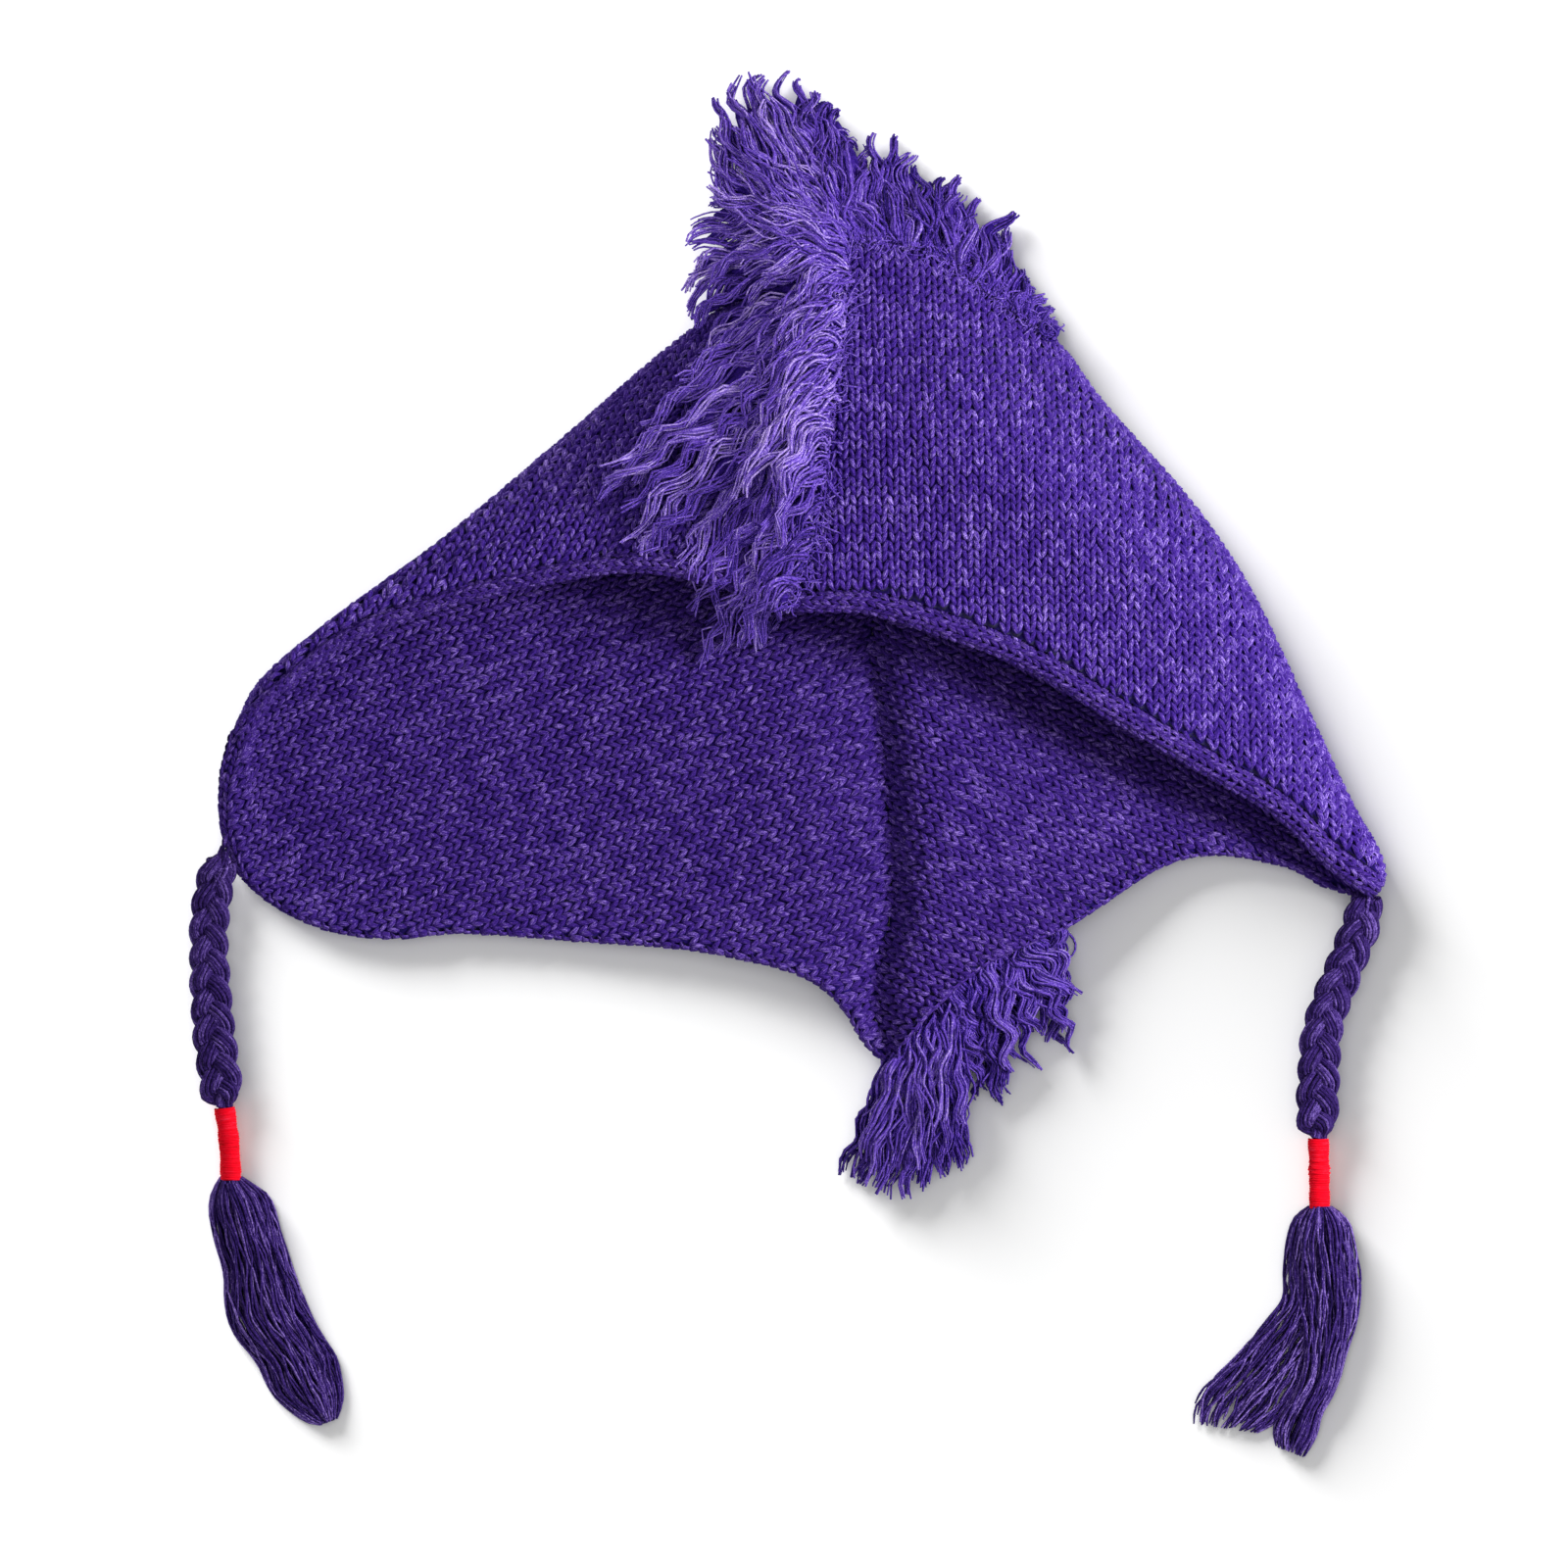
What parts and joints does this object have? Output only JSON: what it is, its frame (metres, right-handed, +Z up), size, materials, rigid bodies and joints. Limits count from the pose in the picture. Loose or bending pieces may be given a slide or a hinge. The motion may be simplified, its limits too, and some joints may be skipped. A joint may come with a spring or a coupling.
{
  "type": "knit cap with ear flaps and yarn mohawk",
  "caption": "Purple chunky knit cap with ear flaps, lying flat, with a yarn mohawk along its seam and plaited ties that end in tassels.",
  "frame": {"origin": "on the surface that the cap lies on, under the middle of the box round the cap and its fringe", "axes": "+X to the right in the picture, +Y from the opening towards the crown, +Z up from the surface"},
  "size_m": [0.4055, 0.4703, 0.0664],
  "materials": {
    "outer_knit": "chunky stockinette knit in heathered acrylic yarn",
    "lining_knit": "stockinette knit, seen inside the opening",
    "edge_knit": "rolled knitted edge",
    "fringe_yarn": "brushed loose yarn strands",
    "tie_yarn": "plied yarn, plaited and in tassels",
    "red_thread": "shiny thread wound tightly"
  },
  "bodies": {
    "root": {"outer_left": "outer_knit", "outer_right": "outer_knit", "lining_left": "lining_knit", "lining_right": "lining_knit", "rim_edge": "edge_knit", "mohawk_fringe": "fringe_yarn", "braid_left": "tie_yarn", "braid_right": "tie_yarn", "wrap_left": "red_thread", "wrap_right": "red_thread", "tassel_left": "tie_yarn", "tassel_right": "tie_yarn"}
  },
  "joints": []
}
